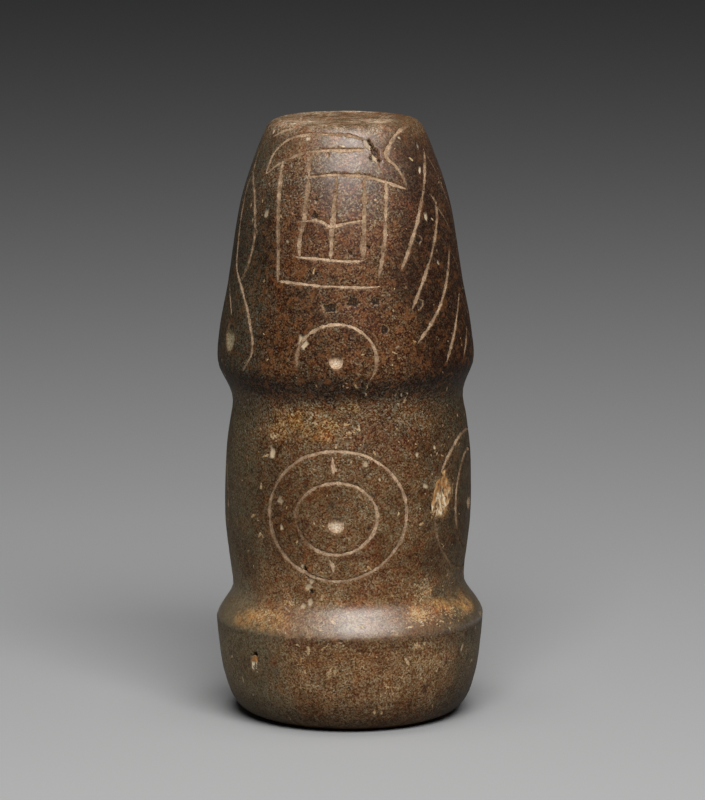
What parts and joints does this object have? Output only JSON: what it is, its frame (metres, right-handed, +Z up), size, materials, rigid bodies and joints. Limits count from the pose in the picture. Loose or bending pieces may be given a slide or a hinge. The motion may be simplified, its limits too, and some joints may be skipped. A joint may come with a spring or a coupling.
{
  "type": "hand pestle",
  "caption": "Carved stone hand pestle with a rounded foot, creased ledge, swelling grip, flared collar and tapering head; incised figures hold pale mineral fills.",
  "frame": {"origin": "middle of the grinding face under the foot", "axes": "+Z up along the pestle to the top of the head, -Y towards the front with the window figure, +X to the right of it"},
  "size_m": [0.0738, 0.0738, 0.165],
  "materials": {
    "stone": "ground and polished, dark brown with rust and ochre patches and cream flecks",
    "pale_fill": "dull, powdery, cream to tan",
    "pale_crystal": "rough, crystalline, cream to orange"
  },
  "bodies": {
    "root": {"stone_body": "stone", "crown_line_1_fill": "pale_fill", "crown_line_2_fill": "pale_fill", "crown_line_3_fill": "pale_fill", "rim_line_fill": "pale_fill", "window_fill": "pale_fill", "chevron_1_fill": "pale_fill", "chevron_2_fill": "pale_fill", "chevron_3_fill": "pale_fill", "chevron_4_fill": "pale_fill", "chevron_5_fill": "pale_fill", "loop_fill": "pale_fill", "stem_fill": "pale_fill", "stem_pit_fill": "pale_fill", "back_frame_fill": "pale_fill", "front_half_ring_fill": "pale_fill", "front_half_ring_dot_fill": "pale_fill", "back_half_ring_fill": "pale_fill", "back_half_ring_dot_fill": "pale_fill", "front_outer_ring_fill": "pale_fill", "front_inner_ring_fill": "pale_fill", "front_ring_dot_fill": "pale_fill", "right_outer_ring_fill": "pale_fill", "right_inner_ring_fill": "pale_fill", "right_ring_dot_fill": "pale_fill", "back_outer_ring_fill": "pale_fill", "back_inner_ring_fill": "pale_fill", "back_ring_dot_fill": "pale_fill", "left_outer_ring_fill": "pale_fill", "left_inner_ring_fill": "pale_fill", "left_ring_dot_fill": "pale_fill", "upper_tick_fill": "pale_fill", "lower_tick_fill": "pale_fill", "flank_inclusion": "pale_crystal", "belly_inclusion": "pale_crystal"}
  },
  "joints": []
}
